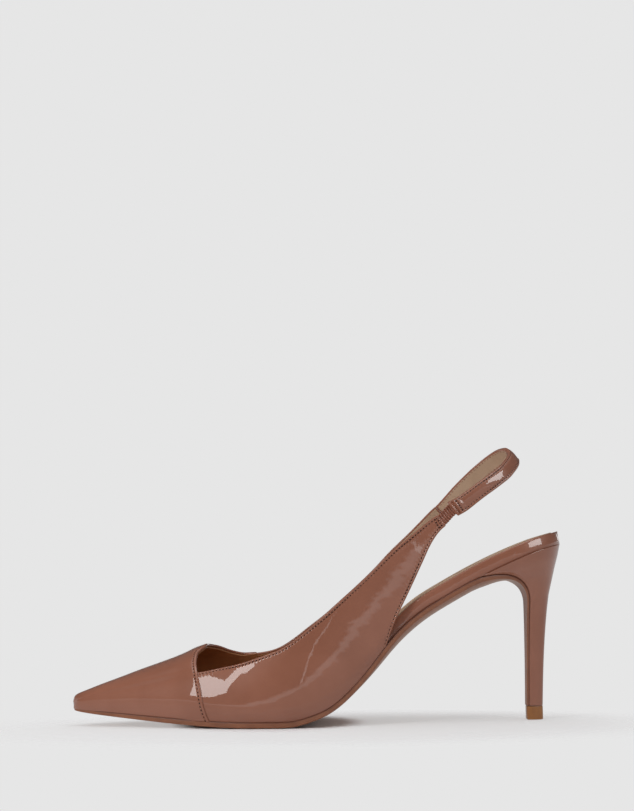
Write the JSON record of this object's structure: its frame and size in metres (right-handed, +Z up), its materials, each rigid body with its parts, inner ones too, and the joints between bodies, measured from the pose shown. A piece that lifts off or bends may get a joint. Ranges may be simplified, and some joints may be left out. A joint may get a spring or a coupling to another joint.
{
  "type": "slingback pump",
  "caption": "Left slingback pump with a pointed toe, a lapped toe piece, quarters tapering to an elasticated sling strap, a wrapped footbed, a thin outsole and a stiletto heel.",
  "frame": {"origin": "centre of the bounding box along X and Y, on the floor plane Z = 0 that the forepart of the outsole and the top piece stand on", "axes": "+X from the tip of the toe to the heel, +Y to the inner (medial) side of the foot, +Z up"},
  "size_m": [0.2433, 0.0756, 0.1361],
  "materials": {
    "patent_leather": "glossy patent, nude brown",
    "sole_leather": "smooth tan-brown edge",
    "lining_leather": "matte beige",
    "elastic": "gathered, covered in soft patent",
    "top_piece_rubber": "satin ochre"
  },
  "bodies": {
    "root": {"outsole": "sole_leather", "heel": "patent_leather", "top_piece": "top_piece_rubber", "insole": "patent_leather", "sock_lining": "lining_leather", "upper": "patent_leather", "toe_piece": "patent_leather", "elastic_gore": "elastic", "sling_strap": "patent_leather"}
  },
  "joints": []
}
